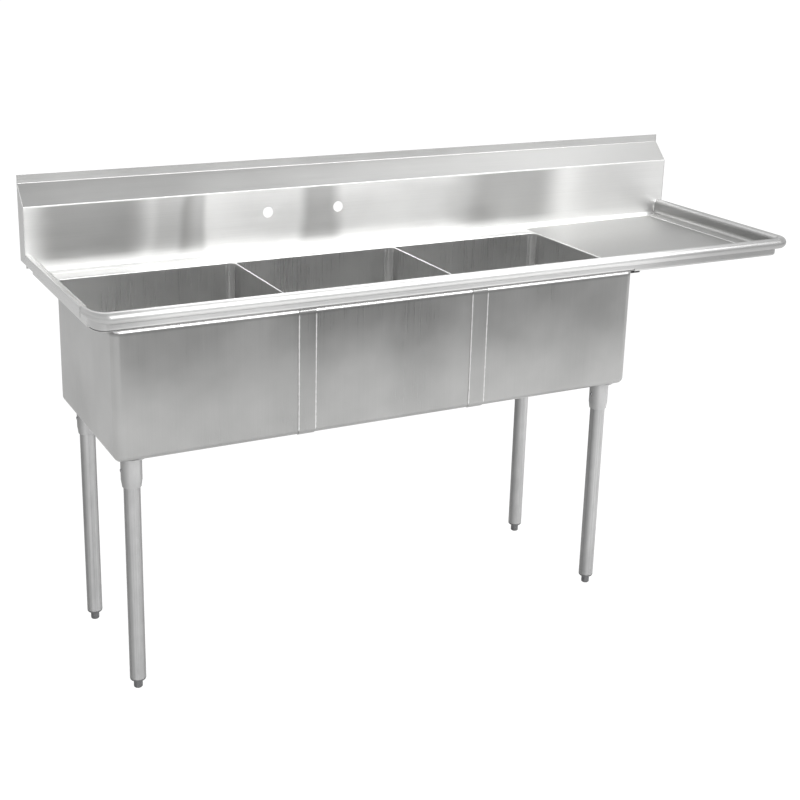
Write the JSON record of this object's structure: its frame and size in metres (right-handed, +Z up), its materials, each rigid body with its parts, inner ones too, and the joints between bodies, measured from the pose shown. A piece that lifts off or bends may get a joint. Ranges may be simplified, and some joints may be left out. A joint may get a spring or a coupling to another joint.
{
  "type": "three compartment sink",
  "caption": "Free-standing stainless steel scullery sink with bowls in a row, a right-hand drainboard, a boxed backsplash and tube legs on adjustable feet.",
  "frame": {"origin": "middle of the footprint box, on the floor under the feet", "axes": "+X along the sink from the left rim towards the drainboard, +Y from the front roll towards the wall, +Z up"},
  "size_m": [1.933, 0.619, 1.13],
  "materials": {
    "stainless_brushed": "brushed stainless sheet",
    "stainless_inside": "brushed stainless sheet, drawn bowl",
    "galvanized_tube": "galvanised steel tube",
    "cast_socket": "matt galvanised leg socket",
    "zinc_foot": "dull zinc plated steel",
    "rubber_black": "black rubber washer",
    "polished_strainer": "polished stainless strainer"
  },
  "bodies": {
    "sink": {"backsplash_panel": "stainless_brushed", "backsplash_end_cap_left": "stainless_brushed", "backsplash_end_cap_right": "stainless_brushed", "deck_frame": "stainless_brushed", "rim_left": "stainless_brushed", "rim_front": "stainless_brushed", "rim_drainboard": "stainless_brushed", "drainboard_pan": "stainless_brushed", "drainboard_channel": "stainless_brushed", "bowl_left": "stainless_inside", "bowl_middle": "stainless_inside", "bowl_right": "stainless_inside", "seam_strip_front_left": "stainless_brushed", "seam_strip_front_right": "stainless_brushed", "seam_strip_rear_left": "stainless_brushed", "seam_strip_rear_right": "stainless_brushed", "leg_socket_front_left": "cast_socket", "leg_socket_front_right": "cast_socket", "leg_socket_rear_left": "cast_socket", "leg_socket_rear_right": "cast_socket", "set_screw_front_left": "zinc_foot", "set_screw_front_right": "zinc_foot", "set_screw_rear_left": "zinc_foot", "set_screw_rear_right": "zinc_foot", "leg_tube_front_left": "galvanized_tube", "leg_tube_front_right": "galvanized_tube", "leg_tube_rear_left": "galvanized_tube", "leg_tube_rear_right": "galvanized_tube", "foot_insert_front_left": "zinc_foot", "foot_insert_front_right": "zinc_foot", "foot_insert_rear_left": "zinc_foot", "foot_insert_rear_right": "zinc_foot", "drain_body_left": "polished_strainer", "drain_body_middle": "polished_strainer", "drain_body_right": "polished_strainer", "drain_gasket_left": "rubber_black", "drain_gasket_middle": "rubber_black", "drain_gasket_right": "rubber_black", "drain_locknut_left": "zinc_foot", "drain_locknut_middle": "zinc_foot", "drain_locknut_right": "zinc_foot"},
    "foot_front_left": {"bullet_foot_front_left": "zinc_foot"},
    "foot_front_right": {"bullet_foot_front_right": "zinc_foot"},
    "foot_rear_left": {"bullet_foot_rear_left": "zinc_foot"},
    "foot_rear_right": {"bullet_foot_rear_right": "zinc_foot"},
    "basket_left": {"drain_basket_left": "polished_strainer", "basket_plate_left": "polished_strainer", "basket_knob_left": "polished_strainer"},
    "basket_middle": {"drain_basket_middle": "polished_strainer", "basket_plate_middle": "polished_strainer", "basket_knob_middle": "polished_strainer"},
    "basket_right": {"drain_basket_right": "polished_strainer", "basket_plate_right": "polished_strainer", "basket_knob_right": "polished_strainer"}
  },
  "joints": [
    {"name": "foot_height_front_left", "type": "slide", "parent": "sink", "child": "foot_front_left", "axis": [0, 0, -1], "range_m": [0, 0.025]},
    {"name": "foot_height_front_right", "type": "slide", "parent": "sink", "child": "foot_front_right", "axis": [0, 0, -1], "range_m": [0, 0.025]},
    {"name": "foot_height_rear_left", "type": "slide", "parent": "sink", "child": "foot_rear_left", "axis": [0, 0, -1], "range_m": [0, 0.025]},
    {"name": "foot_height_rear_right", "type": "slide", "parent": "sink", "child": "foot_rear_right", "axis": [0, 0, -1], "range_m": [0, 0.025]},
    {"name": "basket_lift_left", "type": "slide", "parent": "sink", "child": "basket_left", "axis": [0, 0, 1], "range_m": [0, 0.05]},
    {"name": "basket_lift_middle", "type": "slide", "parent": "sink", "child": "basket_middle", "axis": [0, 0, 1], "range_m": [0, 0.05]},
    {"name": "basket_lift_right", "type": "slide", "parent": "sink", "child": "basket_right", "axis": [0, 0, 1], "range_m": [0, 0.05]}
  ]
}
